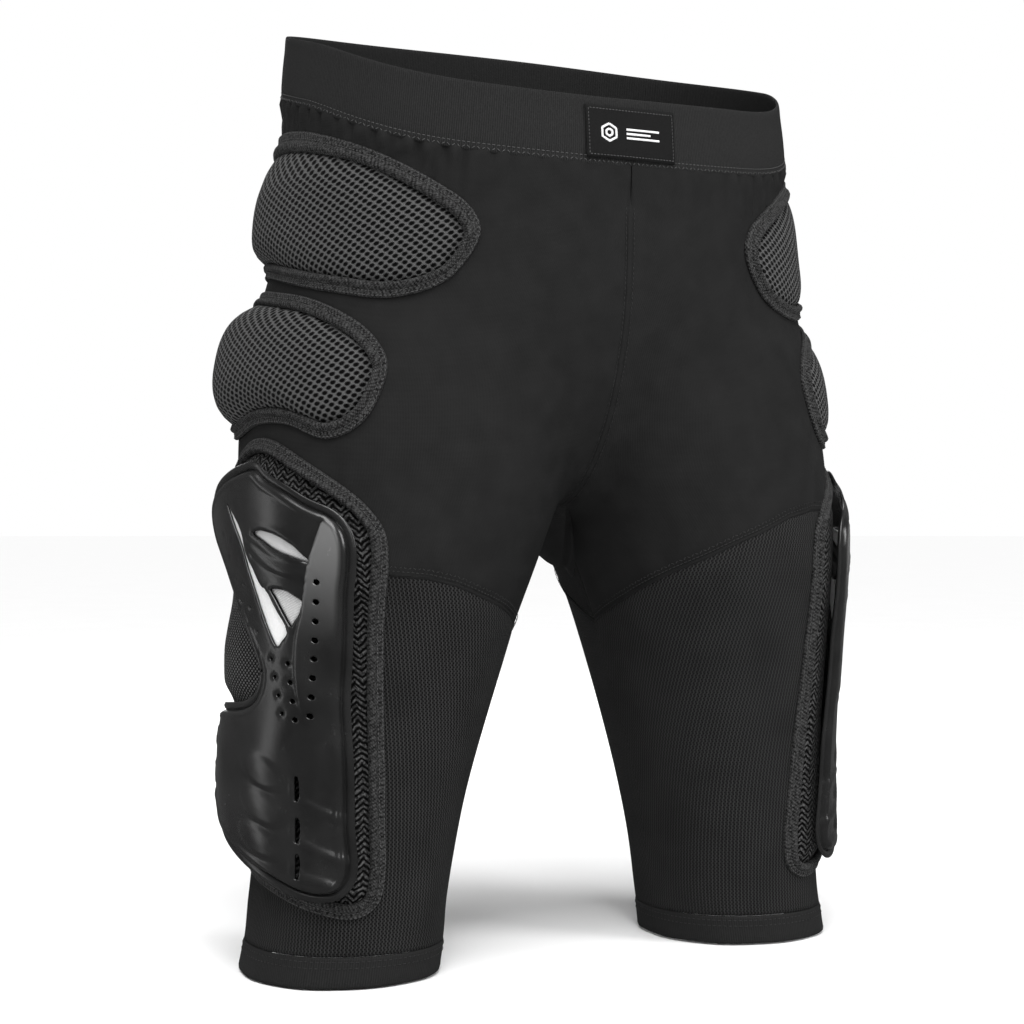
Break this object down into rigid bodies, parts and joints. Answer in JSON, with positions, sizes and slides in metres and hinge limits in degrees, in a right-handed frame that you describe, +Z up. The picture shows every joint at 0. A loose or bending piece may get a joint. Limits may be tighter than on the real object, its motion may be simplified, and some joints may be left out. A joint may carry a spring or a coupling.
{
  "type": "padded impact shorts",
  "caption": "Snug stretch shorts with mesh-covered foam pads at hips, sides and tailbone, and a vented hard shell on each thigh pad, to soften falls.",
  "frame": {"origin": "middle of the waist opening, 14 mm above the middle of the waistband's front top edge", "axes": "+Z up as worn, the front faces -Y, the wearer's left is +X"},
  "size_m": [0.416, 0.2662, 0.5899],
  "materials": {
    "stretch_fabric": "matte",
    "leg_mesh": "matte",
    "elastic": "matte",
    "hem": "matte",
    "label": "matte",
    "foam": "matte",
    "spacer_mesh": "matte",
    "binding": "matte",
    "shell": "satin",
    "reflective": "satin"
  },
  "bodies": {
    "pelvis": {"waistband": "elastic", "waist_label": "label", "crotch_gusset": "stretch_fabric", "tailbone_pad_foam": "foam", "tailbone_pad_cover": "spacer_mesh", "tailbone_pad_binding": "binding", "front_panel_right": "stretch_fabric", "front_panel_left": "stretch_fabric", "back_panel_right": "stretch_fabric", "back_panel_left": "stretch_fabric", "front_hip_crease_right": "stretch_fabric", "front_hip_crease_left": "stretch_fabric", "back_hip_crease_right": "stretch_fabric", "back_hip_crease_left": "stretch_fabric", "hip_pad_foam_right": "foam", "hip_pad_foam_left": "foam", "hip_pad_cover_right": "spacer_mesh", "hip_pad_cover_left": "spacer_mesh", "hip_pad_binding_right": "binding", "hip_pad_binding_left": "binding", "side_pad_foam_right": "foam", "side_pad_foam_left": "foam", "side_pad_cover_right": "spacer_mesh", "side_pad_cover_left": "spacer_mesh", "side_pad_binding_right": "binding", "side_pad_binding_left": "binding"},
    "right_leg": {"leg_mesh_right": "leg_mesh", "hem_right": "hem", "thigh_pad_foam_right": "foam", "thigh_pad_cover_right": "spacer_mesh", "thigh_pad_binding_right": "binding", "thigh_shell_right": "shell", "shell_insert_right": "reflective"},
    "left_leg": {"leg_mesh_left": "leg_mesh", "hem_left": "hem", "thigh_pad_foam_left": "foam", "thigh_pad_cover_left": "spacer_mesh", "thigh_pad_binding_left": "binding", "thigh_shell_left": "shell", "shell_insert_left": "reflective"}
  },
  "joints": [
    {"name": "right_hip", "type": "hinge", "parent": "pelvis", "child": "right_leg", "pos_m": [-0.105, -0.018, -0.231], "axis": [-1, 0, 0], "range_deg": [-10, 25], "deforming": ["front_hip_crease_right", "back_hip_crease_right", "side_pad_foam_right", "side_pad_cover_right", "side_pad_binding_right"]},
    {"name": "left_hip", "type": "hinge", "parent": "pelvis", "child": "left_leg", "pos_m": [0.105, -0.018, -0.231], "axis": [-1, 0, 0], "range_deg": [-10, 25], "deforming": ["front_hip_crease_left", "back_hip_crease_left", "side_pad_foam_left", "side_pad_cover_left", "side_pad_binding_left"]}
  ]
}
